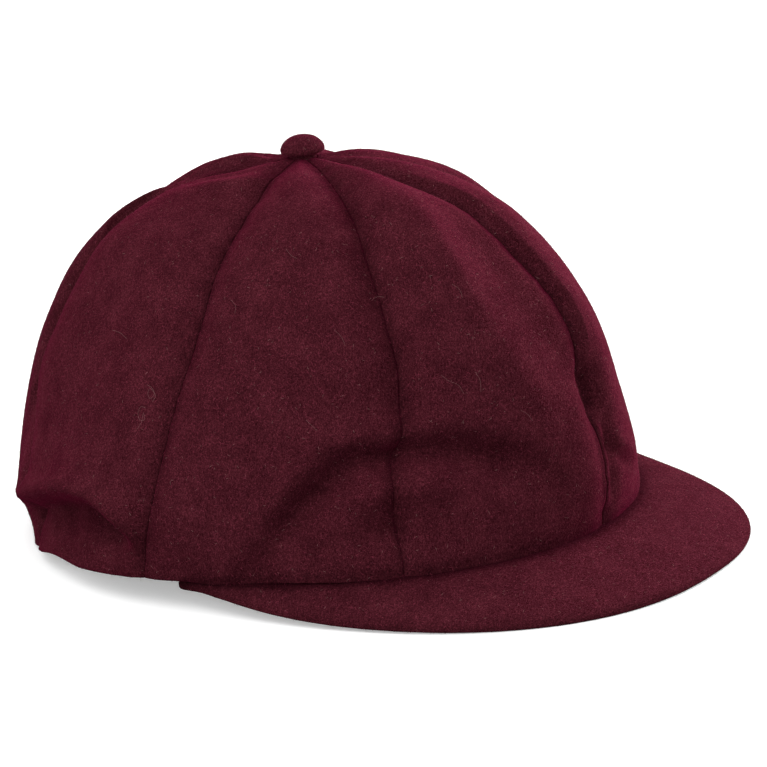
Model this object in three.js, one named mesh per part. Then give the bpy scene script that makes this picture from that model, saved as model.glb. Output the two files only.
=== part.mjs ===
// Cricket cap: a soft crown of eight felt panels, a felt covered button and a short stiff peak.
// Millimetres, +Z up, the peak points to -Y and the wearer's right is -X. The cap rests on the back of
// its rim and on the front edge of its peak. The hollow for the head is open downwards.
import * as THREE from 'three';

// Rim of the head opening, at the outside of the crown's cloth and measured from the middle of the opening
const RIM_FRONT = 104;
const RIM_BACK = 85.2;
const RIM_SIDE = 93.2;
const RIM_ARCH = 3.7;            // the rim rises this far at the sides, above a line from front to back
const RIM_FLAT_ANGLE = 30;       // degrees each side of the back where the rim lies flat
const RIM_FLAT_BLEND = 25;       // degrees over which it leaves the surface

// Crown
const CROWN_HEIGHT = 111.3;      // from the rim up to the tips of the panels
const TIP_FORWARD = 9.4;         // the tips meet this far in front of the middle of the rim
const TIP_RADIUS = 4.6;          // small hole where the tips meet, under the button

// Cloth
const WALL = 2.0;
const SEAM_GAP = 0.3;            // between two neighbouring panels
const SEAM_ALLOWANCE = 2.4;      // extra thickness inside, where the edges of the panels are turned in
const SEAM_WIDTH = 6;            // width of a turned in edge
const SEAM_GROOVE = 3.1;         // the seams lie this far below the cloth beside them
const GROOVE_WIDTH = 6.8;
const HEM_THICKNESS = 1.8;       // extra thickness inside, where the cloth is turned up at the rim
const HEM_DEPTH = 13.5;

// Button, on the tips of the panels, with a short shank through the hole between them
const BUTTON_RADIUS = 7.0;
const BUTTON_HEIGHT = 5.6;
const BUTTON_GAP = 0.3;
const SHANK_CLEARANCE = 0.6;
const SHANK_DEPTH = 5;

// Peak: a board covered with felt
const PEAK_THICKNESS = 3.2;
const PEAK_DEPTH = 35.6;         // how far it stands out in front of the rim
const PEAK_WIDEST = 20.0;        // the outer edge is widest this far in front of the middle of the rim
const PEAK_INSET = 1.7;          // its widest part stays this far inside the sides of the rim
const PEAK_ROUNDNESS = 2.28;     // exponent of the outer edge's curve, 2 is an ellipse
const PEAK_SLOPE = 16.5;         // degrees below the rim
const PEAK_GAP = 0.3;            // below the bottom edge of the crown
const PEAK_END_ANGLE = 85;       // degrees from the front where each end goes under the rim

// Crown sections from the rim up, along the seams. height is a share of CROWN_HEIGHT, front, back and side
// are shares of RIM_FRONT, RIM_BACK and RIM_SIDE, mid is where the section is widest, as a share of
// TIP_FORWARD, drawn is the share by which it is drawn in between front and side, and swell is how far
// the middle of a panel stands out, as a share of CROWN_HEIGHT.
const SECTIONS = {
  rim:      { height: 0.000, front: 1.000, back: 1.000, side: 1.000, mid: 0.00, drawn: 0.000, swell: 0.000 },
  hem:      { height: 0.112, front: 1.019, back: 1.137, side: 1.004, mid: 0.22, drawn: 0.063, swell: -0.009 },
  low:      { height: 0.280, front: 0.999, back: 1.107, side: 0.961, mid: 0.56, drawn: 0.077, swell: -0.013 },
  lower:    { height: 0.467, front: 0.950, back: 1.028, side: 0.850, mid: 0.83, drawn: 0.068, swell: -0.008 },
  middle:   { height: 0.636, front: 0.848, back: 0.890, side: 0.708, mid: 1.00, drawn: 0.049, swell: 0.005 },
  upper:    { height: 0.766, front: 0.709, back: 0.728, side: 0.587, mid: 1.05, drawn: 0.029, swell: 0.013 },
  shoulder: { height: 0.860, front: 0.578, back: 0.570, side: 0.440, mid: 1.05, drawn: 0.018, swell: 0.012 },
  top:      { height: 0.925, front: 0.442, back: 0.405, side: 0.305, mid: 1.02, drawn: 0.016, swell: 0.007 },
  tip:      { height: 0.972, front: 0.292, back: 0.195, side: 0.172, mid: 1.00, drawn: 0.012, swell: 0.002 },
};

// The panels, from the middle of the front round by the wearer's right
const PANELS = [
  'crown_panel_front_right',
  'crown_panel_side_right_front',
  'crown_panel_side_right_back',
  'crown_panel_back_right',
  'crown_panel_back_left',
  'crown_panel_side_left_back',
  'crown_panel_side_left_front',
  'crown_panel_front_left',
];

// Folds and dents, as soft lines on the crown through three points. Each point is degrees from the front
// and level, 0 at the rim to 1 at the tips. width and rise (out of the cloth, or into it if below 0) are
// shares of CROWN_HEIGHT.
const FOLDS = {
  archedDent:  { start: [69, 0.11],    via: [46, 0.285],  end: [12, 0.13],   width: 0.084, rise: -0.039 },
  bulgeBelow:  { start: [57, 0.17],    via: [46, 0.205],  end: [35, 0.19],   width: 0.075, rise: 0.022 },
  lowCrease:   { start: [69, 0.112],   via: [59, 0.122],  end: [47, 0.13],   width: 0.037, rise: -0.013 },
  longFold:    { start: [26, 0.80],    via: [29, 0.47],   end: [11, 0.18],   width: 0.093, rise: 0.028 },
  seamPocket:  { start: [-1, 0.33],    via: [-1, 0.27],   end: [-1, 0.21],   width: 0.047, rise: -0.028 },
  seamCrest:   { start: [-16, 0.72],   via: [-8, 0.47],   end: [-4.5, 0.27], width: 0.056, rise: 0.022 },
  leftCrease:  { start: [-2, 0.185],   via: [-6, 0.146],  end: [-15, 0.095], width: 0.037, rise: -0.021 },
  rightTuck:   { start: [94, 0.095],   via: [118, 0.1],   end: [150, 0.045], width: 0.056, rise: -0.042 },
  overhang:    { start: [98, 0.180],   via: [120, 0.175], end: [150, 0.120], width: 0.084, rise: 0.024 },
  backTuck:    { start: [152, 0.050],  via: [180, 0.060], end: [212, 0.060], width: 0.056, rise: -0.023 },
  leftTuck:    { start: [-136, 0.08],  via: [-115, 0.10], end: [-96, 0.08],  width: 0.056, rise: -0.028 },
  leftDent:    { start: [-72, 0.14],   via: [-52, 0.27],  end: [-26, 0.22],  width: 0.093, rise: -0.028 },
  leftFold:    { start: [-58, 0.74],   via: [-64, 0.50],  end: [-50, 0.26],  width: 0.103, rise: 0.019 },
};
const FOLD_FADE = 0.22;          // share of a fold's length over which each end fades out
const FOLD_STEPS = 12;

// How finely each piece is divided. Across a panel the columns are shares of its width.
const PANEL_ACROSS = [0, 0.06, 0.15, 0.28, 0.43, 0.57, 0.72, 0.85, 0.94, 1];
const PANEL_ROWS = 18;
const PEAK_STEPS = 36;
const PEAK_ACROSS = 5;
const BUTTON_STEPS = 20;

const FELT = { color: 0x481a24, roughness: 0.95, metalness: 0 };

const radians = (degrees) => (degrees * Math.PI) / 180;

// A smooth curve through evenly spaced values
function through(values, t) {
  const last = values.length - 1;
  const k = Math.min(Math.max(Math.floor(t * last), 0), last - 1);
  const u = t * last - k;
  const b = values[k];
  const c = values[k + 1];
  const a = k > 0 ? values[k - 1] : 2 * b - c;
  const d = k + 2 <= last ? values[k + 2] : 2 * c - b;
  return 0.5 * (2 * b + (c - a) * u + (2 * a - 5 * b + 4 * c - d) * u * u + (3 * b - a - 3 * c + d) * u ** 3);
}

function smooth(edge0, edge1, x) {
  const t = Math.min(Math.max((x - edge0) / (edge1 - edge0), 0), 1);
  return t * t * (3 - 2 * t);
}

// A closed shell from two grids of points with the same rows and columns, outer and inner
function shell(outer, inner) {
  const rows = outer.length;
  const columns = outer[0].length;
  const positions = [];
  [outer, inner].forEach((grid) => grid.forEach((row) => row.forEach((p) => positions.push(p.x, p.y, p.z))));
  const index = [];
  const at = (layer, row, column) => layer * rows * columns + row * columns + column;
  const quad = (a, b, c, d) => index.push(a, b, c, a, c, d);
  for (let r = 0; r < rows - 1; r += 1) {
    for (let c = 0; c < columns - 1; c += 1) {
      quad(at(0, r, c), at(0, r + 1, c), at(0, r + 1, c + 1), at(0, r, c + 1));
      quad(at(1, r, c), at(1, r, c + 1), at(1, r + 1, c + 1), at(1, r + 1, c));
    }
  }
  for (let r = 0; r < rows - 1; r += 1) {
    quad(at(0, r, 0), at(1, r, 0), at(1, r + 1, 0), at(0, r + 1, 0));
    quad(at(0, r, columns - 1), at(0, r + 1, columns - 1), at(1, r + 1, columns - 1), at(1, r, columns - 1));
  }
  for (let c = 0; c < columns - 1; c += 1) {
    quad(at(0, 0, c), at(0, 0, c + 1), at(1, 0, c + 1), at(1, 0, c));
    quad(at(0, rows - 1, c), at(1, rows - 1, c), at(1, rows - 1, c + 1), at(0, rows - 1, c + 1));
  }
  const geometry = new THREE.BufferGeometry();
  geometry.setAttribute('position', new THREE.Float32BufferAttribute(positions, 3));
  geometry.setIndex(index);
  geometry.computeVertexNormals();
  return geometry;
}

// Height of the peak's upper face: level with the rim up to the crown, then sloping down
function peakHeight(x, y) {
  const crownEdge = RIM_FRONT * Math.sqrt(Math.max(1 - (x / RIM_SIDE) ** 2, 0));
  const reach = Math.max(-y - crownEdge, 0);
  return RIM_ARCH * (x / RIM_SIDE) ** 2 - PEAK_GAP - Math.tan(radians(PEAK_SLOPE)) * reach;
}

// The peak's upper and lower faces as grids. Rows run round the head from one end to the other, and
// columns from under the rim to the rounded outer edge.
function peakFaces() {
  const tuck = WALL + HEM_THICKNESS;
  const halfWidth = RIM_SIDE - PEAK_INSET;
  const halfLength = RIM_FRONT + PEAK_DEPTH - PEAK_WIDEST;
  const power = 2 / PEAK_ROUNDNESS;
  const upper = [];
  const lower = [];
  for (let i = 0; i <= PEAK_STEPS; i += 1) {
    const along = 2 * (i / PEAK_STEPS) - 1;
    const inAngle = along * radians(PEAK_END_ANGLE);
    const sine = Math.sin((along * Math.PI) / 2);
    const cosine = Math.max(Math.cos((along * Math.PI) / 2), 0);
    const inside = new THREE.Vector2(
      -(RIM_SIDE - tuck) * Math.sin(inAngle),
      -(RIM_FRONT - tuck) * Math.cos(inAngle),
    );
    const outside = new THREE.Vector2(
      -halfWidth * Math.sign(sine) * Math.abs(sine) ** power,
      -PEAK_WIDEST - halfLength * cosine ** power,
    );
    const edge = Math.min(PEAK_THICKNESS / 2 / outside.distanceTo(inside), 0.3);
    const upperRow = [];
    const lowerRow = [];
    for (let k = 0; k < PEAK_ACROSS; k += 1) {
      const p = inside.clone().lerp(outside, (k / (PEAK_ACROSS - 1)) * (1 - edge));
      const z = peakHeight(p.x, p.y);
      upperRow.push(new THREE.Vector3(p.x, p.y, z));
      lowerRow.push(new THREE.Vector3(p.x, p.y, z - PEAK_THICKNESS));
    }
    const z = peakHeight(outside.x, outside.y);
    const near = inside.clone().lerp(outside, 1 - edge * 0.3);
    upperRow.push(new THREE.Vector3(near.x, near.y, z - 0.15 * PEAK_THICKNESS));
    upperRow.push(new THREE.Vector3(outside.x, outside.y, z - 0.38 * PEAK_THICKNESS));
    lowerRow.push(new THREE.Vector3(near.x, near.y, z - 0.85 * PEAK_THICKNESS));
    lowerRow.push(new THREE.Vector3(outside.x, outside.y, z - 0.62 * PEAK_THICKNESS));
    upper.push(upperRow);
    lower.push(lowerRow);
  }
  return { upper, lower };
}

// The cap tips back until the peak's front edge and the back of the rim are level
const peak = peakFaces();
const restPitch = Math.max(...peak.lower.flat().map((p) => Math.atan2(-p.z, RIM_BACK - p.y)));

// Height of the rim's bottom edge: it arches at the sides and lies flat on the surface at the back
function rimHeight(angle) {
  const arch = RIM_ARCH * Math.sin(angle) ** 2;
  const fromBack = Math.abs(Math.atan2(Math.sin(angle - Math.PI), Math.cos(angle - Math.PI)));
  const resting = (RIM_BACK * Math.cos(fromBack) - RIM_BACK) * Math.tan(restPitch);
  const leaves = smooth(radians(RIM_FLAT_ANGLE), radians(RIM_FLAT_ANGLE + RIM_FLAT_BLEND), fromBack);
  return resting + (arch - resting) * leaves;
}

const sections = Object.values(SECTIONS);
const folds = Object.values(FOLDS);
const tipY = -TIP_FORWARD;
const heights = [...sections.map((s) => s.height * CROWN_HEIGHT), CROWN_HEIGHT];
const fronts = [...sections.map((s) => s.front * RIM_FRONT), TIP_RADIUS - tipY];
const backs = [...sections.map((s) => s.back * RIM_BACK), TIP_RADIUS + tipY];
const sides = [...sections.map((s) => s.side * RIM_SIDE), TIP_RADIUS];
const middles = [...sections.map((s) => -s.mid * TIP_FORWARD), tipY];
const diagonals = [...sections.map((s) => s.drawn), 0];
const swells = [...sections.map((s) => s.swell * CROWN_HEIGHT), 0];

// The crown without its seams and folds, at an angle from the front and a level from 0 to 1
function section(angle, level) {
  const middle = through(middles, level);
  const forward = Math.cos(angle) > 0;
  const half = forward ? through(fronts, level) + middle : through(backs, level) - middle;
  const rise = rimHeight(angle) * (1 - smooth(0, 0.35, level));
  const drawnIn = 1 - through(diagonals, level) * Math.sin(2 * angle) ** 2;
  return new THREE.Vector3(
    -through(sides, level) * drawnIn * Math.sin(angle),
    middle - half * drawnIn * Math.cos(angle),
    through(heights, level) + rise,
  );
}

// Across the crown at an angle and a level: the direction, and the length for one radian
function tangent(angle, level) {
  return section(angle + 0.01, level).sub(section(angle - 0.01, level)).divideScalar(0.02);
}

// Each fold's line as points on the crown
const foldLines = folds.map((fold) => {
  const points = [];
  for (let i = 0; i <= FOLD_STEPS; i += 1) {
    const t = i / FOLD_STEPS;
    const mix = (k) => {
      const handle = 2 * fold.via[k] - 0.5 * (fold.start[k] + fold.end[k]);
      return (1 - t) ** 2 * fold.start[k] + 2 * t * (1 - t) * handle + t * t * fold.end[k];
    };
    points.push(section(radians(mix(0)), mix(1)));
  }
  return points;
});

function foldRelief(point) {
  let total = 0;
  folds.forEach((fold, k) => {
    const line = foldLines[k];
    let nearest = Infinity;
    let along = 0;
    for (let i = 0; i < FOLD_STEPS; i += 1) {
      const segment = line[i + 1].clone().sub(line[i]);
      const offset = point.clone().sub(line[i]);
      const t = Math.min(Math.max(offset.dot(segment) / segment.lengthSq(), 0), 1);
      const distance = offset.addScaledVector(segment, -t).length();
      if (distance < nearest) {
        nearest = distance;
        along = (i + t) / FOLD_STEPS;
      }
    }
    const ends = smooth(-0.05, FOLD_FADE, along) * smooth(-0.05, FOLD_FADE, 1 - along);
    total += fold.rise * CROWN_HEIGHT * ends * Math.exp(-((nearest / (fold.width * CROWN_HEIGHT)) ** 2));
  });
  return total;
}

const panelWidth = (2 * Math.PI) / PANELS.length;

// Distance from the nearest seam at a share of a panel's width
function fromSeam(share, angle, level) {
  return Math.min(share, 1 - share) * panelWidth * tangent(angle, level).length();
}

// The outside of a panel's cloth. share runs across the panel from 0 to 1.
function clothPoint(panel, share, level) {
  const angle = (panel + share) * panelWidth;
  const base = section(angle, level);
  const step = 0.002;
  const low = Math.min(level, 1 - step);
  const upward = section(angle, low + step).sub(section(angle, Math.max(low - step, 0)));
  const normal = upward.cross(tangent(angle, low)).normalize();
  const groove = SEAM_GROOVE * (1 - Math.exp(-((fromSeam(share, angle, level) / GROOVE_WIDTH) ** 2)));
  const grooveFade = smooth(0, 0.16, level) * (1 - smooth(0.86, 1, level));
  const foldFade = smooth(0, 0.05, level) * (1 - smooth(0.88, 0.98, level));
  const swell = through(swells, level) * Math.sin(Math.PI * share);
  return base.addScaledVector(normal, groove * grooveFade + swell + foldRelief(base) * foldFade);
}

// Outward normal of the cloth, from points of the same panel, so that a seam stays a clean edge
function clothNormal(panel, share, level) {
  const step = 0.005;
  const across = clothPoint(panel, Math.min(share + step, 1), level)
    .sub(clothPoint(panel, Math.max(share - step, 0), level));
  const upward = clothPoint(panel, share, Math.min(level + step, 1))
    .sub(clothPoint(panel, share, Math.max(level - step, 0)));
  return upward.cross(across).normalize();
}

// One panel of the crown: its cloth, the edges turned in at the seams and the hem turned up at the rim
function panelGeometry(panel) {
  const outer = [];
  const inner = [];
  for (let r = 0; r <= PANEL_ROWS; r += 1) {
    const level = (r / PANEL_ROWS) ** 0.92;
    const outerRow = [];
    const innerRow = [];
    PANEL_ACROSS.forEach((share) => {
      const angle = (panel + share) * panelWidth;
      const point = clothPoint(panel, share, level);
      const normal = clothNormal(panel, share, level);
      const seamSide = share === 0 ? 1 : share === 1 ? -1 : 0;
      if (seamSide !== 0) {
        const across = tangent(angle, level).normalize();
        normal.addScaledVector(across, -normal.dot(across)).normalize();
        point.addScaledVector(across, (seamSide * SEAM_GAP) / 2);
      }
      const turnedIn = Math.exp(-((fromSeam(share, angle, level) / SEAM_WIDTH) ** 4)) * smooth(1, 0.9, level);
      const turnedUp = 1 - smooth(0.8, 1.3, through(heights, level) / HEM_DEPTH);
      const thickness = WALL + Math.max(turnedIn * SEAM_ALLOWANCE, turnedUp * HEM_THICKNESS);
      if (r === PANEL_ROWS) normal.set(0, 0, 1);
      outerRow.push(point);
      innerRow.push(point.clone().addScaledVector(normal, -thickness));
    });
    outer.push(outerRow);
    inner.push(innerRow);
  }
  // the bottom edge is cut parallel to the surface that the cap rests on
  inner[0].forEach((p, c) => { p.z = outer[0][c].z + (p.y - outer[0][c].y) * Math.tan(restPitch); });
  return shell(outer, inner);
}

// The button and its shank, turned about the vertical
function buttonGeometry() {
  const shankRadius = TIP_RADIUS - SHANK_CLEARANCE;
  const profile = [
    [0, -SHANK_DEPTH],
    [shankRadius, -SHANK_DEPTH],
    [shankRadius, 0],
    [0.86 * BUTTON_RADIUS, 0],
    [0.96 * BUTTON_RADIUS, 0.05 * BUTTON_HEIGHT],
    [BUTTON_RADIUS, 0.20 * BUTTON_HEIGHT],
    [0.95 * BUTTON_RADIUS, 0.42 * BUTTON_HEIGHT],
    [0.80 * BUTTON_RADIUS, 0.67 * BUTTON_HEIGHT],
    [0.58 * BUTTON_RADIUS, 0.86 * BUTTON_HEIGHT],
    [0.30 * BUTTON_RADIUS, 0.97 * BUTTON_HEIGHT],
    [0, BUTTON_HEIGHT],
  ].map(([r, z]) => new THREE.Vector2(r, z));
  const geometry = new THREE.LatheGeometry(profile, BUTTON_STEPS);
  geometry.rotateX(Math.PI / 2);
  return geometry;
}

const turned = new THREE.Group();
PANELS.forEach((name, k) => {
  const mesh = new THREE.Mesh(panelGeometry(k), new THREE.MeshStandardMaterial(FELT));
  mesh.name = name;
  turned.add(mesh);
});

const peakMesh = new THREE.Mesh(shell(peak.upper, peak.lower), new THREE.MeshStandardMaterial(FELT));
peakMesh.name = 'peak';
turned.add(peakMesh);

const button = new THREE.Mesh(buttonGeometry(), new THREE.MeshStandardMaterial(FELT));
button.name = 'crown_button';
button.position.set(0, tipY, CROWN_HEIGHT + BUTTON_GAP);
turned.add(button);

// The cap is turned to its resting angle, with its lowest points on z = 0 and its middle over the origin
turned.rotation.x = -restPitch;
turned.updateMatrixWorld(true);
const extent = new THREE.Box3().setFromObject(turned, true);
turned.position.set(-(extent.min.x + extent.max.x) / 2, -(extent.min.y + extent.max.y) / 2, -extent.min.z);

const cap = new THREE.Group();
cap.add(turned);

export default cap;
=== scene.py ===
import math
import bpy
import numpy as np
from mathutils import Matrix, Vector, bvhtree, kdtree, noise


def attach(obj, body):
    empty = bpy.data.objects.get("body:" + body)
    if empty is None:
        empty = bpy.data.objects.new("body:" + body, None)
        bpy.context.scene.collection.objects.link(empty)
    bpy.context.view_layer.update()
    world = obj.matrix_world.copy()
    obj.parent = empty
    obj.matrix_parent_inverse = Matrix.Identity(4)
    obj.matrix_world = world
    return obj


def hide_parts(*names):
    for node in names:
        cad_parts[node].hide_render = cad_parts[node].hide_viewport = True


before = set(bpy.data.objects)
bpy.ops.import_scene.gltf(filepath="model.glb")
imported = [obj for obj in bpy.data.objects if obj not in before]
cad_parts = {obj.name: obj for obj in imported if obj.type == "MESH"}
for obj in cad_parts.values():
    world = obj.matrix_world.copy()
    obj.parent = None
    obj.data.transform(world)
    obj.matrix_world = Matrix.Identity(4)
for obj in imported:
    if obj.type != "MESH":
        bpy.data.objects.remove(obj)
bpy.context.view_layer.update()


# Camera, at the photograph's angle: from the wearer's right, a third of the way round to the front, slightly
# above, and turned a touch about its own axis because the cap rests flatter here than it did there.
eye = bpy.data.cameras.new("photo_camera")
eye.lens = 187.16
eye.sensor_width = 36
eye.clip_end = 20
camera = bpy.data.objects.new("photo_camera", eye)
camera.location = (-0.9917, -0.6353, 0.3846)
camera.rotation_euler = [math.radians(angle) for angle in (73.925, 2.706, -58.416)]
bpy.context.scene.collection.objects.link(camera)
bpy.context.scene.camera = camera


# Table: a plain pale sheet that the cap is laid on, wide enough that its edge is never seen. It is lit up
# a little where the camera sees it and is grey to the cap, so that it is white but throws little light up.
bpy.ops.object.select_all(action="DESELECT")
bpy.ops.mesh.primitive_plane_add(size=30, location=(0, 0, 0))
table = bpy.context.object
table.name = "table"
paper = bpy.data.materials.new("white_paper")
paper.use_nodes = True
paper_nodes, paper_links = paper.node_tree.nodes, paper.node_tree.links
shader = paper_nodes["Principled BSDF"]
shader.inputs["Base Color"].default_value = (0.92, 0.92, 0.92, 1)
shader.inputs["Roughness"].default_value = 0.9
shader.inputs["Specular IOR Level"].default_value = 0.1
shader.inputs["Emission Color"].default_value = (1, 1, 1, 1)
shader.inputs["Emission Strength"].default_value = 0.35
grey = paper_nodes.new("ShaderNodeBsdfDiffuse")
grey.inputs["Color"].default_value = (0.2, 0.2, 0.2, 1)
looked_at = paper_nodes.new("ShaderNodeLightPath")
either = paper_nodes.new("ShaderNodeMixShader")
paper_links.new(looked_at.outputs["Is Camera Ray"], either.inputs["Fac"])
paper_links.new(grey.outputs["BSDF"], either.inputs[1])
paper_links.new(shader.outputs["BSDF"], either.inputs[2])
paper_links.new(either.outputs["Shader"], paper_nodes["Material Output"].inputs["Surface"])
table.data.materials.append(paper)


# Studio light: a white room, three times as bright high on the wearer's right, where the camera is, and far
# brighter low on the left, so that the cap's far edge glows. One soft lamp high on the right helps to bring
# out the folds. A glow is gone where the cosine of the angle to its direction falls to its edge.
ROOM_BASE = 0.56
ROOM_GLOW = {
    "above": {"towards": (-0.22, 0.10, 0.97), "edge": 0.0, "strength": 0.05},
    "wearers_right": {"towards": (-0.90, 0.0, 0.42), "edge": 0.0, "strength": 1.2},
    "wearers_left": {"towards": (0.97, -0.18, 0.06), "edge": 0.72, "strength": 15.0},
}
room = bpy.data.worlds.new("white_room")
room.use_nodes = True
room_nodes, room_links = room.node_tree.nodes, room.node_tree.links
direction = room_nodes.new("ShaderNodeTexCoord")
total = None
for glow in ROOM_GLOW.values():
    along = room_nodes.new("ShaderNodeVectorMath")
    along.operation = "DOT_PRODUCT"
    along.inputs[1].default_value = glow["towards"]
    room_links.new(direction.outputs["Generated"], along.inputs[0])
    amount = room_nodes.new("ShaderNodeMapRange")
    amount.interpolation_type = "SMOOTHSTEP"
    amount.inputs["From Min"].default_value = glow["edge"]
    amount.inputs["To Max"].default_value = glow["strength"]
    room_links.new(along.outputs["Value"], amount.inputs["Value"])
    added = room_nodes.new("ShaderNodeMath")
    added.inputs[1].default_value = ROOM_BASE
    room_links.new(amount.outputs["Result"], added.inputs[0])
    if total:
        room_links.new(total, added.inputs[1])
    total = added.outputs["Value"]
room_links.new(total, room_nodes["Background"].inputs["Strength"])
room_nodes["Background"].inputs["Color"].default_value = (1, 1, 1, 1)
bpy.context.scene.world = room
bpy.context.scene.view_settings.view_transform = "Standard"
lamp = bpy.data.lights.new("soft_lamp", "AREA")
lamp.size = 0.55
lamp.energy = 2
lamp_holder = bpy.data.objects.new("soft_lamp", lamp)
lamp_holder.location = (-0.95, -0.1, 1.2)
lamp_aim = Vector((0, 0, 0.05)) - lamp_holder.location
lamp_holder.rotation_euler = lamp_aim.to_track_quat("-Z", "Y").to_euler()
bpy.context.scene.collection.objects.link(lamp_holder)


# Crown panels. Eight pieces of thick brushed wool felt, cut alike and seamed edge to edge with their
# edges turned in, so the cloth stands up between the seams. Wear has left it softly dented.
PANELS = [
    "crown_panel_front_right", "crown_panel_side_right_front",
    "crown_panel_side_right_back", "crown_panel_back_right",
    "crown_panel_back_left", "crown_panel_side_left_back",
    "crown_panel_side_left_front", "crown_panel_front_left",
]
CROWN_MIDDLE = np.array([0, 0.01, 0.02])
OUTWARDS_RISE = 0.8     # outwards is away from the middle, but flatter by this
PANEL_EDGE = 0.72       # how tightly the felt turns at its seams, 1 is a sharp corner
SEAM_REACH = 0.0013     # within this of the next panel the two edges are drawn together
SEAM_CLOSE = 0.55       # share of the way to the next panel that an edge is drawn
SEAM_FINE = 0.0048      # faces this near a seam are made finer, for the groove
# A seam lies in a narrow line in a wide soft valley, and both are painted darker, as painted shade. Most is
# the greatest depth, and then the greatest painted darkness. The felt beside it is puckered, in bumps about
# as wide as across.
GROOVE = {
    "line": {"most": 0.0011, "width": 0.00055},
    "valley": {"most": 0.0010, "width": 0.0040},
}
SEAM_PAINTED_SHADE = {
    "line": {"most": 0.5, "width": 0.0010},
    "valley": {"most": 0.4, "width": 0.0034},
}
PUCKER = {"rise": 0.0004, "width": 0.0045, "across": 0.0042}
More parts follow.
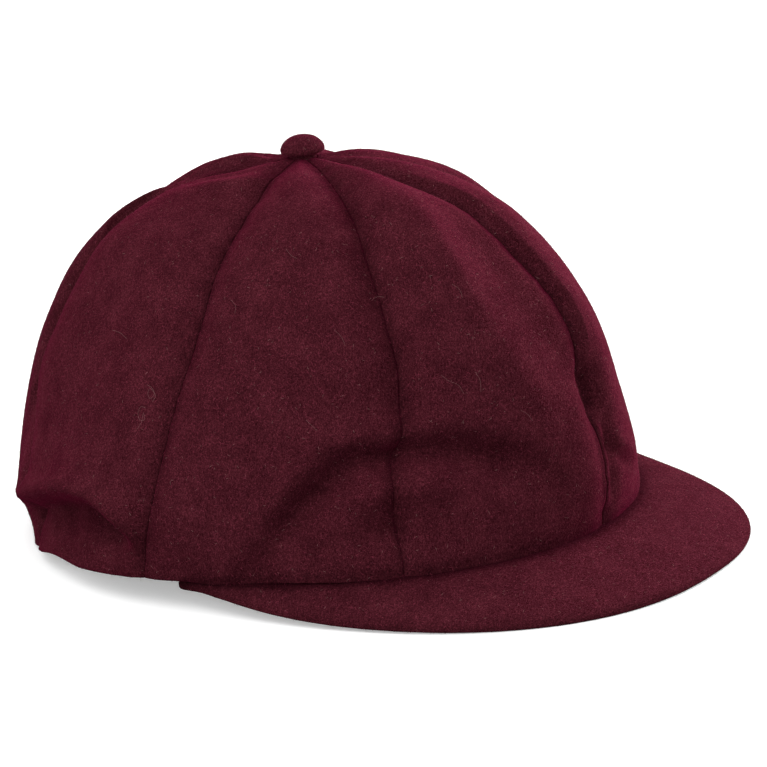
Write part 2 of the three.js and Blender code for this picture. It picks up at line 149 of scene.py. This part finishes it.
# The folds and creases that wear has left, each a soft line over the crown through points in mm. The cloth
# along it stands out by rise, is higher on the line's left than on its right by lean, and is drawn to
# the left by shift. Width is in mm too, a power under 2 makes the fold sharper, and shade is how much
# shade is painted on the felt and its nap in the fold's hollow. What a row leaves out is as in PLAIN_FOLD.
PLAIN_FOLD = {"rise": 0, "lean": 0, "shift": 0, "power": 2, "shade": 0}
FOLDS = {
    "arch_above_dent": {
        "line": [(-91, -5, 6), (-87.2, -14.1, 17.8), (-80.4, -21.5, 30.5), (-74, -27, 38),
                 (-67.5, -32.5, 44.5), (-60, -41, 46.5), (-51, -51.5, 48), (-43.7, -58, 46.5),
                 (-35, -67, 43), (-25, -76.5, 36), (-15, -83, 27)],
        "width": 5.8, "rise": -1.4, "lean": 5.8, "shade": 0.26},
    "bulge_in_dent": {
        "line": [(-74, -33, 26), (-65, -42.7, 36), (-54.5, -54.2, 38), (-45, -63.5, 33)],
        "width": 7.0, "rise": 2.2},
    "low_crease": {
        "line": [(-83, -21, 18), (-75, -33.5, 21), (-65.8, -45, 24), (-56, -58, 24)],
        "width": 4.5, "rise": -1.2, "lean": 0.8},
    "front_ridge": {
        "line": [(3.0, -2.2, 117), (4.4, -24.4, 112.0), (4.6, -42.6, 103.8), (4.4, -61, 88.3),
                 (4.0, -72.6, 72.8), (3.4, -76.5, 62.1), (2.8, -79.3, 50)],
        "width": 3.2, "rise": 2.6, "power": 1.0},
    "front_seam_pull": {
        "line": [(1, -20, 111), (-1, -38.8, 101.8), (-1.4, -59.3, 86), (0.8, -72.8, 68.7), (2, -77, 54)],
        "width": 9, "shift": 2.6},
    "front_right_edge": {
        "line": [(-2.2, -22, 111.5), (-3.6, -42, 101), (-4.2, -60, 86), (-4.0, -73, 69), (-3.6, -78, 52)],
        "width": 4.6, "rise": 1.7},
    "front_right_flat": {
        "line": [(-8, -30, 109), (-11, -48, 98), (-12, -64, 84), (-9, -75, 67), (-6, -80, 48)],
        "width": 9, "rise": -2.2},
    "front_pocket": {
        "line": [(2.6, -75, 60), (3.2, -77.5, 51), (3.4, -79.2, 44)],
        "width": 3.0, "rise": -2.6, "shade": 0.4},
    "front_lap": {
        "line": [(3.4, -79.2, 47), (2.6, -82.7, 35.5), (2.4, -84.2, 24.4), (2.5, -84, 15)],
        "width": 3.0, "lean": -1.6},
    "front_left_crease": {
        "line": [(3.2, -82.0, 39), (11.3, -82, 31), (24.7, -78.7, 24)],
        "width": 2.6, "rise": -0.8, "lean": 1.9},
    "long_fold": {
        "line": [(-10, -22, 113.0), (-24, -44, 100), (-29, -58, 84), (-27, -73.0, 60), (-18, -81.9, 36)],
        "width": 5.4, "rise": 1.7, "power": 1.5},
    "back_tuck": {
        "line": [(-50, 96, 9), (-60, 88, 14), (-74.8, 70.5, 21.5), (-83.1, 57.0, 27), (-89.5, 43.5, 29.5),
                 (-92.3, 34, 27.5), (-93.3, 27, 22), (-93.5, 21, 16)],
        "width": 4.4, "rise": 0.5, "lean": 7.0},
    "back_tuck_hollow": {
        "line": [(-72, 71, 13), (-80.7, 58.5, 18), (-87.8, 44, 21), (-91.6, 34, 20), (-93.2, 26, 15)],
        "width": 5.0, "rise": -4.8, "shade": 0.34},
    "back_right_pull": {
        "line": [(-10.7, 34.9, 113.1), (-25, 53, 103), (-39, 67, 85), (-49.5, 76.2, 60), (-60, 83.5, 27)],
        "width": 27, "shift": -16},
    "back_right_near_side": {
        "line": [(-30, 43, 104), (-46, 54, 86), (-57.5, 64, 64), (-66, 70, 38)],
        "width": 13, "rise": 3.0},
    "back_right_far_side": {
        "line": [(-18, 71, 91), (-25, 78, 78), (-31, 84.5, 60), (-38, 91, 38)],
        "width": 12, "rise": -4.6},
    "front_right_seam_high": {
        "line": [(-45, -38, 80), (-50, -44, 64), (-53, -46, 50), (-56, -47, 38)],
        "width": 9, "shift": 1.7},
    "front_right_seam_low": {
        "line": [(-54, -46, 50), (-57, -47, 41), (-59, -48, 31), (-61, -49, 16)],
        "width": 9, "shift": -1.7},
    "back_right_seam": {
        "line": [(-10.7, 34.9, 113.1), (-18.6, 46.4, 107.7), (-35.6, 63.3, 90.9), (-46.5, 74, 68),
                 (-57.2, 81.3, 38.1), (-62.4, 85.4, 17.7)],
        "width": 13, "rise": -0.6, "lean": 4.0},
    "top_crest_low": {
        "line": [(-19, 68, 103.5), (-18.5, 56.4, 107.2), (-16.5, 48.8, 109.2), (-14.0, 42.3, 111.1),
                 (-9, 36, 113)],
        "width": 2.8, "rise": 1.9, "power": 1.5},
    "top_crest_high": {
        "line": [(-15.8, 58.1, 108), (-10.2, 48.6, 112.4), (-4.4, 37.2, 114.5), (1.0, 28.8, 115.8)],
        "width": 2.8, "rise": 1.9, "power": 1.5},
    "top_patch": {
        "line": [(-31, 36, 109), (-26.4, 28.6, 112.1), (-20.7, 20.8, 112.7), (-15, 14, 114)],
        "width": 3.6, "rise": 1.3, "power": 1.6},
    "top_hollow": {
        "line": [(-30, 46, 105), (-25, 38, 109.5), (-18, 30, 112), (-12, 22, 114)],
        "width": 3.2, "rise": -1.5},
}
FOLD_ENDS = 0.3         # share of a fold's length over which each end fades out
FOLD_TIP = 0.05         # how far along that fade a fold's very end already is
FOLD_REACH = 3          # a fold leaves alone what is more widths than this outside its line's box
FOLD_DEPTH = 0.009      # felt further than this above or below a fold's line counts as further off
DEPTH_COUNTS = 4        # by this many times the excess
LEAN_SCALE = 1.6        # with this each side of a line lies up to 0.7 of its lean higher or lower
FOLDS_FROM = 0.008      # the rise of folds sets in over this height above the table
WAVES_FROM = 0.012      # and waves and puckers over this height
CROWN_ROUND = 0.16      # twice the crown's radius, so that what is drawn along it stays on it
WAVES = {
    "broad": {"across": 0.034, "rise": 0.0009, "start": (0, 1.7, 4.1)},
    "small": {"across": 0.011, "rise": 0.00022, "start": (7.3, 1.7, 4.1)},
}
PEAK_REACH = 0.0022     # within this of the peak the crown's edge is drawn down onto it
PEAK_CLOSE = 0.9        # share of the way to the peak that it is drawn
PEAK_FINE = 0.004       # faces this near the peak are made finer
# Where the crown meets the peak both are painted darker, as a painted shadow, and away from it the crown's
# edge lifts here and there.
CREASE_PAINTED_SHADOW = {
    "line": {"most": 0.7, "width": 0.0019},
    "valley": {"most": 0.3, "width": 0.0050},
}
CREASE_REACH = 0.02
HEM_WAVE = {"across": 0.025, "rise": 0.0036, "height": 0.016, "clear_of_peak": 0.014}


def points_of(piece):
    found = np.empty(len(piece.data.vertices) * 3)
    piece.data.vertices.foreach_get("co", found)
    return found.reshape(-1, 3)


def set_points(piece, points):
    piece.data.vertices.foreach_set("co", points.ravel())
    piece.data.update()


def felt_copy(node, name, edge):
    """A finer copy of a node. Its corners, where the felt is cut or turned, stay tight by edge."""
    piece = bpy.data.objects.new(name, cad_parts[node].data.copy())
    piece.data.name = name
    piece.data.materials.clear()
    bpy.context.scene.collection.objects.link(piece)
    bpy.ops.object.select_all(action="DESELECT")
    piece.select_set(True)
    bpy.context.view_layer.objects.active = piece
    bpy.ops.object.mode_set(mode="EDIT")
    bpy.ops.mesh.select_all(action="SELECT")
    bpy.ops.mesh.remove_doubles(threshold=0.00001)
    bpy.ops.mesh.tris_convert_to_quads(face_threshold=math.radians(40), shape_threshold=math.radians(60))
    bpy.ops.mesh.select_all(action="DESELECT")
    bpy.ops.mesh.select_mode(type="EDGE")
    bpy.ops.mesh.edges_select_sharp(sharpness=math.radians(50))
    bpy.ops.transform.edge_crease(value=edge)
    bpy.ops.object.mode_set(mode="OBJECT")
    finer = piece.modifiers.new("finer", "SUBSURF")
    finer.levels = finer.render_levels = 2
    bpy.ops.object.modifier_apply(modifier="finer")
    bpy.ops.object.shade_smooth()
    return piece


def ease(values):
    values = np.clip(values, 0, 1)
    return values * values * (3 - 2 * values)


def rounded_line(corners, steps=4):
    """A smooth line through the corners, as points in metres."""
    corners = np.array(corners) / 1000
    before = np.vstack([2 * corners[0] - corners[1], corners, 2 * corners[-1] - corners[-2]])
    line = [corners[0]]
    for k in range(len(corners) - 1):
        a, b, c, d = before[k:k + 4]
        for u in np.linspace(0, 1, steps + 1)[1:]:
            bend = (2 * a - 5 * b + 4 * c - d) * u * u + (3 * b - a - 3 * c + d) * u ** 3
            line.append((2 * b + (c - a) * u + bend) / 2)
    return np.array(line)


def folded(points, outwards):
    """How far the folds lift each point, how far they draw it along the crown, and the shade they paint on
    it.
    """
    lifted = np.zeros_like(points)
    drawn = np.zeros_like(points)
    shade = np.zeros(len(points))
    for row in FOLDS.values():
        fold = {**PLAIN_FOLD, **row}
        line = rounded_line(fold["line"])
        width = fold["width"] / 1000
        reach = FOLD_REACH * width
        near = ((points > line.min(0) - reach) & (points < line.max(0) + reach)).all(1)
        here, out = points[near], outwards[near]
        nearest = np.full(len(here), np.inf)
        side = np.zeros(len(here))
        along = np.zeros(len(here))
        left = np.zeros_like(here)
        for k in range(len(line) - 1):
            step = line[k + 1] - line[k]
            share = np.clip((here - line[k]) @ step / (step @ step), 0, 1)
            offset = here - line[k] - share[:, None] * step
            depth = (offset * out).sum(1)
            across = np.cross(out, step / np.linalg.norm(step))
            distance = np.sqrt(np.maximum((offset ** 2).sum(1) - depth ** 2, 0))
            distance += np.maximum(np.abs(depth) - FOLD_DEPTH, 0) * DEPTH_COUNTS
            closer = distance < nearest
            nearest[closer] = distance[closer]
            side[closer] = (offset * across).sum(1)[closer]
            along[closer] = (k + share[closer]) / (len(line) - 1)
            left[closer] = across[closer]
        fades = ease(along / FOLD_ENDS + FOLD_TIP) * ease((1 - along) / FOLD_ENDS + FOLD_TIP)
        strength = np.exp(-(nearest / width) ** fold["power"]) * fades / 1000
        drawn_by = strength * fold["shift"]
        lifted_by = strength * (fold["rise"] + fold["lean"] * LEAN_SCALE * side / width)
        lifted_by -= drawn_by ** 2 / CROWN_ROUND
        lifted[near] += lifted_by[:, None] * out
        drawn[near] += drawn_by[:, None] * left
        # painted shade in the fold's hollow
        shade[near] += strength * 1000 * fold["shade"]
    return lifted, drawn, shade


def waves(point):
    total = 0
    for wave in WAVES.values():
        total += wave["rise"] * noise.noise(Vector(point) / wave["across"] + Vector(wave["start"]))
    return total


def fading(distance, bands):
    """The sum of some bands along a line, each strongest on it and fading over its width."""
    return sum(band["most"] * math.exp(-(distance / band["width"]) ** 2) for band in bands.values())


def tree_of(points):
    tree = kdtree.KDTree(len(points))
    for k, point in enumerate(points):
        tree.insert(point, k)
    tree.balance()
    return tree


panels = [felt_copy(node, node + "_felt", edge=PANEL_EDGE) for node in PANELS]
trees = [tree_of(points_of(piece)) for piece in panels]


def to_seam(panel, point):
    """The nearest point of the two panels beside this one, and its distance."""
    beside = [trees[(panel + step) % len(trees)].find(point) for step in (-1, 1)]
    place, _, distance = min(beside, key=lambda found: found[2])
    return np.array(place), distance


def surface_of(*meshes):
    """The surfaces of some meshes together, to measure how near them a point is."""
    corners, faces = [], []
    for mesh in meshes:
        faces += [[len(corners) + k for k in face.vertices] for face in mesh.polygons]
        corners += [vertex.co for vertex in mesh.vertices]
    return bvhtree.BVHTree.FromPolygons(corners, faces)


def painted_crease_shadow(surface, point):
    """How dark the painted shadow is where a point lies close to another piece's surface, as in a crease."""
    distance = surface.find_nearest(point, CREASE_REACH)[3]
    return 0 if distance is None else fading(distance, CREASE_PAINTED_SHADOW)


peak_surface = surface_of(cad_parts["peak"].data)
for k, piece in enumerate(panels):
    bpy.ops.object.select_all(action="DESELECT")
    piece.select_set(True)
    bpy.context.view_layer.objects.active = piece
    bpy.ops.object.mode_set(mode="EDIT")
    bpy.ops.mesh.select_mode(type="FACE")
    bpy.ops.mesh.select_all(action="DESELECT")
    bpy.ops.object.mode_set(mode="OBJECT")
    for face in piece.data.polygons:
        near_peak = peak_surface.find_nearest(face.center, PEAK_FINE)[3] is not None
        face.select = to_seam(k, face.center)[1] < SEAM_FINE or near_peak
    bpy.ops.object.mode_set(mode="EDIT")
    bpy.ops.mesh.subdivide(number_cuts=2, smoothness=0)
    bpy.ops.object.mode_set(mode="OBJECT")

trees = [tree_of(points_of(piece)) for piece in panels]
for k, piece in enumerate(panels):
    flat = points_of(piece)
    points = flat.copy()
    outwards = points - CROWN_MIDDLE
    outwards[:, 2] *= OUTWARDS_RISE
    outwards /= np.linalg.norm(outwards, axis=1)[:, None]
    shadow = np.zeros(len(points))
    for i, point in enumerate(flat):
        seam, distance = to_seam(k, point)
        if distance < SEAM_REACH:
            points[i] += (seam - point) * SEAM_CLOSE
        above = min(max(point[2] / WAVES_FROM, 0), 1)
        pucker = PUCKER["rise"] * math.exp(-(distance / PUCKER["width"]) ** 2)
        pucker *= noise.noise(Vector(seam) / PUCKER["across"])
        lift = waves(point) * above + pucker * above - fading(distance, GROOVE)
        points[i] += outwards[i] * lift
        under, _, _, gap = peak_surface.find_nearest(point, PEAK_REACH)
        if gap is not None:
            points[i] += (np.array(under) - point) * PEAK_CLOSE
        low = max(1 - point[2] / HEM_WAVE["height"], 0)
        if peak_surface.find_nearest(point, HEM_WAVE["clear_of_peak"])[3] is not None:
            low = 0
        wave = noise.noise(Vector((point[0], point[1], 0)) / HEM_WAVE["across"])
        points[i, 2] += HEM_WAVE["rise"] * low * max(wave, 0)
        # Painted shade: darker along the seam's line and valley, and a painted shadow where the crown meets
        # the peak.
        shadow[i] = max(fading(distance, SEAM_PAINTED_SHADE), painted_crease_shadow(peak_surface, point))
    lifted, drawn, shade = folded(flat, outwards)
    points += lifted * np.clip(flat[:, 2:] / FOLDS_FROM, 0, 1) + drawn
    points[:, 2] = np.maximum(points[:, 2], 0)
    set_points(piece, points)
    # The piece keeps its painted shade, from seams, the crease at the peak and fold hollows, for its colour.
    painted_shade = piece.data.attributes.new("painted_shade", "FLOAT", "POINT")
    painted_shade.data.foreach_set("value", np.maximum(shadow, shade))


# Brushed wool, used by every piece: dark maroon with brighter and paler fibres lying in it, cloudy
# from the uneven nap, with shade painted into it in the seams and creases, and a soft crimson sheen.
WOOL_INPUTS = {"Grain": "NodeSocketVector", "Cloud": "NodeSocketFloat"}
WOOL_OUTPUTS = {"Color": "NodeSocketColor", "Height": "NodeSocketFloat", "Roughness": "NodeSocketFloat"}
WOOL_DARKEST = (0.30, (0.016, 0.0022, 0.0040))
WOOL_PALEST = (0.80, (0.21, 0.060, 0.080))
WOOL_BETWEEN = [
    (0.44, (0.036, 0.0056, 0.0090)),
    (0.55, (0.066, 0.0106, 0.0170)),
    (0.66, (0.115, 0.0220, 0.033)),
]
wool = bpy.data.node_groups.new("brushed_wool", "ShaderNodeTree")
for name, kind in WOOL_INPUTS.items():
    wool.interface.new_socket(name, in_out="INPUT", socket_type=kind)
for name, kind in WOOL_OUTPUTS.items():
    wool.interface.new_socket(name, in_out="OUTPUT", socket_type=kind)
nodes, links = wool.nodes, wool.links


def add(kind, **values):
    node = nodes.new(kind)
    for name, value in values.items():
        if name in node.inputs:
            node.inputs[name].default_value = value
        else:
            setattr(node, name, value)
    return node


inside = add("NodeGroupInput")
outside = add("NodeGroupOutput")
place = add("ShaderNodeTexCoord")
swirl = add("ShaderNodeTexNoise", Scale=420, Detail=1)
links.new(place.outputs["Object"], swirl.inputs["Vector"])
bend = add("ShaderNodeVectorMath", operation="MULTIPLY_ADD")
bend.inputs[1].default_value = (0.0011, 0.0011, 0.0011)
links.new(swirl.outputs["Color"], bend.inputs[0])
links.new(place.outputs["Object"], bend.inputs[2])
stretch = add("ShaderNodeVectorMath", operation="MULTIPLY")
links.new(bend.outputs["Vector"], stretch.inputs[0])
links.new(inside.outputs["Grain"], stretch.inputs[1])
fibres = add("ShaderNodeTexNoise", Scale=1.0, Detail=4, Roughness=0.62)
links.new(stretch.outputs["Vector"], fibres.inputs["Vector"])
flecks = add("ShaderNodeTexNoise", Scale=2600, Detail=2, Roughness=0.7)
links.new(place.outputs["Object"], flecks.inputs["Vector"])
clouds = add("ShaderNodeTexNoise", Scale=110, Detail=6, Roughness=0.68)
links.new(place.outputs["Object"], clouds.inputs["Vector"])
both = add("ShaderNodeMix", data_type="FLOAT")
both.inputs["Factor"].default_value = 0.5
links.new(fibres.outputs["Fac"], both.inputs[2])
links.new(flecks.outputs["Fac"], both.inputs[3])
cloudy = add("ShaderNodeMath", operation="MULTIPLY_ADD")
centred = add("ShaderNodeMath", operation="SUBTRACT")
centred.inputs[1].default_value = 0.5
links.new(clouds.outputs["Fac"], centred.inputs[0])
links.new(centred.outputs["Value"], cloudy.inputs[0])
links.new(inside.outputs["Cloud"], cloudy.inputs[1])
links.new(both.outputs[0], cloudy.inputs[2])
shades = add("ShaderNodeValToRGB")
stops = shades.color_ramp.elements
for stop, (position, color) in zip(stops, (WOOL_DARKEST, WOOL_PALEST)):
    stop.position = position
    stop.color = (*color, 1)
for position, color in WOOL_BETWEEN:
    stops.new(position).color = (*color, 1)
links.new(cloudy.outputs["Value"], shades.inputs["Fac"])
rough = add("ShaderNodeMapRange")
rough.inputs["To Min"].default_value = 0.95
rough.inputs["To Max"].default_value = 0.75
links.new(both.outputs[0], rough.inputs["Value"])
links.new(shades.outputs["Color"], outside.inputs["Color"])
links.new(both.outputs[0], outside.inputs["Height"])
links.new(rough.outputs["Result"], outside.inputs["Roughness"])


def wool_material(name, grain, cloud, sheen):
    material = bpy.data.materials.new(name)
    material.use_nodes = True
    tree = material.node_tree
    shader = tree.nodes["Principled BSDF"]
    shader.inputs["Specular IOR Level"].default_value = 0.0
    shader.inputs["Sheen Weight"].default_value = sheen
    shader.inputs["Sheen Roughness"].default_value = 0.35
    shader.inputs["Sheen Tint"].default_value = (0.85, 0.02, 0.17, 1)
    group = tree.nodes.new("ShaderNodeGroup")
    group.node_tree = wool
    group.inputs["Grain"].default_value = grain
    group.inputs["Cloud"].default_value = cloud
    bump = tree.nodes.new("ShaderNodeBump")
    bump.inputs["Strength"].default_value = 0.85
    bump.inputs["Distance"].default_value = 0.00045
    # Shade painted into the colour: the piece's own attribute darkens the wool in seams, creases and fold
    # hollows.
    seam = tree.nodes.new("ShaderNodeAttribute")
    seam.attribute_name = "painted_shade"
    darker = tree.nodes.new("ShaderNodeMapRange")
    darker.inputs["To Min"].default_value = 1.0
    darker.inputs["To Max"].default_value = 0.30
    dark = tree.nodes.new("ShaderNodeVectorMath")
    dark.operation = "MULTIPLY"
    tree.links.new(seam.outputs["Fac"], darker.inputs["Value"])
    tree.links.new(group.outputs["Color"], dark.inputs[0])
    tree.links.new(darker.outputs["Result"], dark.inputs[1])
    tree.links.new(dark.outputs["Vector"], shader.inputs["Base Color"])
    tree.links.new(group.outputs["Roughness"], shader.inputs["Roughness"])
    tree.links.new(group.outputs["Height"], bump.inputs["Height"])
    tree.links.new(bump.outputs["Normal"], shader.inputs["Normal"])
    return material


crown_felt = wool_material("crown_felt", grain=(2300, 2300, 1100), cloud=0.30, sheen=0.16)
for node, piece in zip(PANELS, panels):
    piece.data.materials.append(crown_felt)
    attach(piece, "root")
    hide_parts(node)


# Nap: the short fibres that brushing has raised, lying every way over the felt but a little downwards,
# in the shades of the dyed wool and here and there a paler one, and darkest where shade is painted.
# Each is a thin leaf of four points.
NAP_ON_PANEL = 27000
NAP_LENGTH = (0.0006, 0.0017)
NAP_WIDTH = (0.00005, 0.00009)
NAP_LIFT = 0.30         # how steeply a fibre may rise from the felt
NAP_ARCH = 0.8          # how high its middle lies, as a share of its tip's height
NAP_CURL = 0.22         # how far aside its middle may lie, as a share of its length
NAP_DOWNWARDS = (0, 0, -0.25)
NAP_ROOT = 0.00004      # how deep its root is in the felt
NAP_BODY = 0.00006      # how far its middle is kept clear of the felt
NAP_TIP = 0.00002       # and its tip
NAP_DARK_FROM = 0.7     # where the shadow reaches this, every fibre is a dark one
NAP_OUTSIDE = 0.35      # the least cosine between a face's normal and the way out, for it to be outside
NAP_SHADES = {
    "nap_dark": {"color": (0.032, 0.0050, 0.0085), "share": 0.28},
    "nap_mid": {"color": (0.088, 0.0138, 0.0225), "share": 0.43},
    "nap_bright": {"color": (0.175, 0.0270, 0.0480), "share": 0.28},
    "nap_pale": {"color": (0.240, 0.1200, 0.1200), "share": 0.010},
    # the darkest colour, given to fibres where shade is painted on the felt, as painted shade
    "nap_in_painted_shade": {"color": (0.014, 0.0024, 0.0040), "share": 0},
}
nap_materials = []
for name, shade in NAP_SHADES.items():
    fibre = bpy.data.materials.new(name)
    fibre.use_nodes = True
    shader = fibre.node_tree.nodes["Principled BSDF"]
    shader.inputs["Base Color"].default_value = (*shade["color"], 1)
    shader.inputs["Roughness"].default_value = 0.85
    shader.inputs["Specular IOR Level"].default_value = 0.02
    shader.inputs["Sheen Weight"].default_value = 0.20
    shader.inputs["Sheen Roughness"].default_value = 0.4
    shader.inputs["Sheen Tint"].default_value = (0.90, 0.03, 0.20, 1)
    nap_materials.append(fibre)


def brushed_up(piece, name, hairs, facing, seed):
    """Fibres as one mesh of thin leaves over a piece, as thickly on each face as facing says."""
    chance = np.random.default_rng(seed)
    mesh = piece.data
    mesh.calc_loop_triangles()
    corners = np.empty(len(mesh.loop_triangles) * 3, np.int32)
    mesh.loop_triangles.foreach_get("vertices", corners)
    a, b, c = points_of(piece)[corners.reshape(-1, 3)].transpose(1, 0, 2)
    normals = np.cross(b - a, c - a)
    areas = np.linalg.norm(normals, axis=1)
    normals /= np.maximum(areas, 1e-12)[:, None]
    areas *= facing((a + b + c) / 3, normals)
    picked = chance.choice(len(areas), hairs, p=areas / areas.sum())
    along_b, along_c = chance.random((2, hairs, 1))
    over = along_b + along_c > 1
    along_b, along_c = np.where(over, 1 - along_b, along_b), np.where(over, 1 - along_c, along_c)
    root = a[picked] + (b - a)[picked] * along_b + (c - a)[picked] * along_c
    out = normals[picked]
    way = chance.normal(size=(hairs, 3)) + NAP_DOWNWARDS
    way -= (way * out).sum(1)[:, None] * out
    way /= np.linalg.norm(way, axis=1)[:, None]
    left = np.cross(out, way)
    length = chance.uniform(*NAP_LENGTH, (hairs, 1))
    half = chance.uniform(*NAP_WIDTH, (hairs, 1)) / 2
    rise = chance.random((hairs, 1)) ** 2 * NAP_LIFT * length
    curl = chance.uniform(-NAP_CURL, NAP_CURL, (hairs, 1)) * length
    middle = root + way * length * 0.5 + left * curl + out * (rise * NAP_ARCH + NAP_BODY)
    tip = root + way * length + out * (rise + NAP_TIP)
    leaves = np.stack([root - out * NAP_ROOT, middle - left * half, tip, middle + left * half], 1)
    leaves[:, :, 2] = np.maximum(leaves[:, :, 2], 0)
    nap = bpy.data.meshes.new(name)
    nap.vertices.add(hairs * 4)
    nap.vertices.foreach_set("co", leaves.ravel())
    nap.loops.add(hairs * 4)
    nap.loops.foreach_set("vertex_index", np.arange(hairs * 4))
    nap.polygons.add(hairs)
    nap.polygons.foreach_set("loop_start", np.arange(hairs) * 4)
    nap.polygons.foreach_set("loop_total", np.full(hairs, 4))
    for fibre in nap_materials:
        nap.materials.append(fibre)
    shares = [shade["share"] for shade in NAP_SHADES.values()]
    shades = chance.choice(len(shares), hairs, p=shares)
    # Painted shade on the nap: where shade is painted on the felt, fibres take the darkest colour.
    if "painted_shade" in mesh.attributes:
        shadow = np.empty(len(mesh.vertices))
        mesh.attributes["painted_shade"].data.foreach_get("value", shadow)
        at_root = shadow[corners.reshape(-1, 3)[picked]].mean(1)
        shades[at_root > chance.uniform(0, NAP_DARK_FROM, hairs)] = len(shares) - 1
    nap.polygons.foreach_set("material_index", shades)
    nap.update(calc_edges=True)
    cover = bpy.data.objects.new(name, nap)
    bpy.context.scene.collection.objects.link(cover)
    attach(cover, "root")


def outside_of_crown(places, normals):
    """Which faces of a panel are on its outer side."""
    ways_out = places - CROWN_MIDDLE
    return (normals * ways_out).sum(1) > NAP_OUTSIDE * np.linalg.norm(ways_out, axis=1)


for k, (node, piece) in enumerate(zip(PANELS, panels)):
    brushed_up(piece, node + "_nap", NAP_ON_PANEL, outside_of_crown, seed=k)


# Stray hairs: a few fibres longer than the nap and a little paler, two of them curled, that lie loose on
# the wool. Each is a line through points in mm near the crown.
STRAY_WIDTH = 0.00006
STRAY_ABOVE = 0.0003    # how high a hair lies over the felt
STRAY_HAIRS = [
    [(-77.2, 26.4, 63.5), (-77.4, 24.5, 62.8), (-78.1, 23.1, 61.3), (-79.0, 24.0, 59.9),
     (-78.5, 25.3, 61.2), (-77.6, 24.8, 62.5), (-78.3, 22.6, 60.8), (-79.3, 23.1, 59.2)],
    [(-80.6, 24.9, 57.5), (-80.6, 26.6, 57.6), (-81.6, 27.1, 56.0), (-82.5, 25.9, 54.2),
     (-82.3, 24.3, 54.4), (-81.3, 25.2, 56.1), (-82.7, 25.1, 53.8), (-84.0, 26.2, 51.6)],
    [(-70.5, -24.4, 56.7), (-69.9, -25.7, 55.2), (-69.0, -27.1, 53.3)],
    [(-43.4, -54.2, 66.3), (-42.4, -56.2, 64.4), (-41.1, -58.5, 63.1), (-40.6, -60.0, 60.4)],
    [(-37.6, -62.3, 66.5), (-37.3, -63.7, 64.1), (-37.8, -64.1, 60.7)],
    [(-48.1, -5.9, 100.3), (-49.2, -8.3, 99.0), (-49.3, -10.3, 98.3)],
    [(-56.3, -26.5, 80.3), (-56.1, -28.7, 78.3), (-56.6, -30.2, 75.9)],
    [(-43.5, -31.9, 86.6), (-41.6, -32.5, 87.4), (-40.9, -34.4, 87.1)],
    [(-31.2, -51.8, 90.0), (-30.6, -53.8, 88.5), (-31.3, -55.1, 86.4)],
    [(-61.4, 5.5, 87.4), (-62.4, 3.2, 86.0), (-63.9, 2.7, 84.1)],
    [(-63.9, 47.5, 74.6), (-65.7, 43.4, 74.6), (-67.5, 39.6, 73.6)],
    [(-30.3, -72.6, 54.1), (-28.7, -73.9, 52.6), (-27.8, -74.7, 50.4)],
]
crown_skin = surface_of(*[piece.data for piece in panels])
corners, faces = [], []
for hair in STRAY_HAIRS:
    line = rounded_line(hair)
    for k in range(len(line)):
        place, out, _, _ = crown_skin.find_nearest(line[k])
        ahead = Vector(line[min(k + 1, len(line) - 1)] - line[max(k - 1, 0)])
        half = out.cross(ahead).normalized() * STRAY_WIDTH / 2
        corners += [place + out * STRAY_ABOVE - half, place + out * STRAY_ABOVE + half]
        if k:
            faces.append([len(corners) - 4, len(corners) - 3, len(corners) - 1, len(corners) - 2])
loose = bpy.data.meshes.new("stray_hairs")
loose.from_pydata(corners, [], faces)
stray = bpy.data.materials.new("stray_hair")
stray.use_nodes = True
shader = stray.node_tree.nodes["Principled BSDF"]
shader.inputs["Base Color"].default_value = (0.17, 0.060, 0.065, 1)
shader.inputs["Roughness"].default_value = 0.7
loose.materials.append(stray)
stray_hairs = bpy.data.objects.new("stray_hairs", loose)
bpy.context.scene.collection.objects.link(stray_hairs)
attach(stray_hairs, "root")


# Peak. A stiff board cut to a crescent and covered above and below with the same felt, its edge turned
# smoothly over with no stitches showing.
NAP_ON_PEAK = 32000
NAP_BELOW_PEAK = 0.4    # how thick its nap is underneath, as a share of that on top
peak = felt_copy("peak", "peak_felt", edge=0.3)
crown_surface = surface_of(*[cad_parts[node].data for node in PANELS])
# Painted shadow: the peak is painted darker where it meets the crown.
painted_shade = peak.data.attributes.new("painted_shade", "FLOAT", "POINT")
painted_shade.data.foreach_set("value", [painted_crease_shadow(crown_surface, vertex.co) for vertex in peak.data.vertices])
peak.data.materials.append(wool_material("peak_felt", grain=(1100, 2300, 2300), cloud=0.26, sheen=0.04))
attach(peak, "root")
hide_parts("peak")


def thinner_below(places, normals):
    """A thinner nap on the faces of the peak that look down."""
    return np.where(normals[:, 2] > 0, 1.0, NAP_BELOW_PEAK)


brushed_up(peak, "peak_nap", NAP_ON_PEAK, thinner_below, seed=20)


# Button. A small dome covered with the felt, drawn tight over the point where the panels meet.
NAP_ON_BUTTON = 2200
BUTTON_FOOT = -0.4      # faces whose normals point down further than this lie on the crown
button = felt_copy("crown_button", "crown_button_felt", edge=0.2)
button.data.materials.append(wool_material("button_felt", grain=(2000, 2000, 2000), cloud=0.26, sheen=0.12))
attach(button, "root")
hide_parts("crown_button")


def clear_of_crown(places, normals):
    """Which faces of the button do not lie on the crown."""
    return normals[:, 2] > BUTTON_FOOT


brushed_up(button, "crown_button_nap", NAP_ON_BUTTON, clear_of_crown, seed=30)
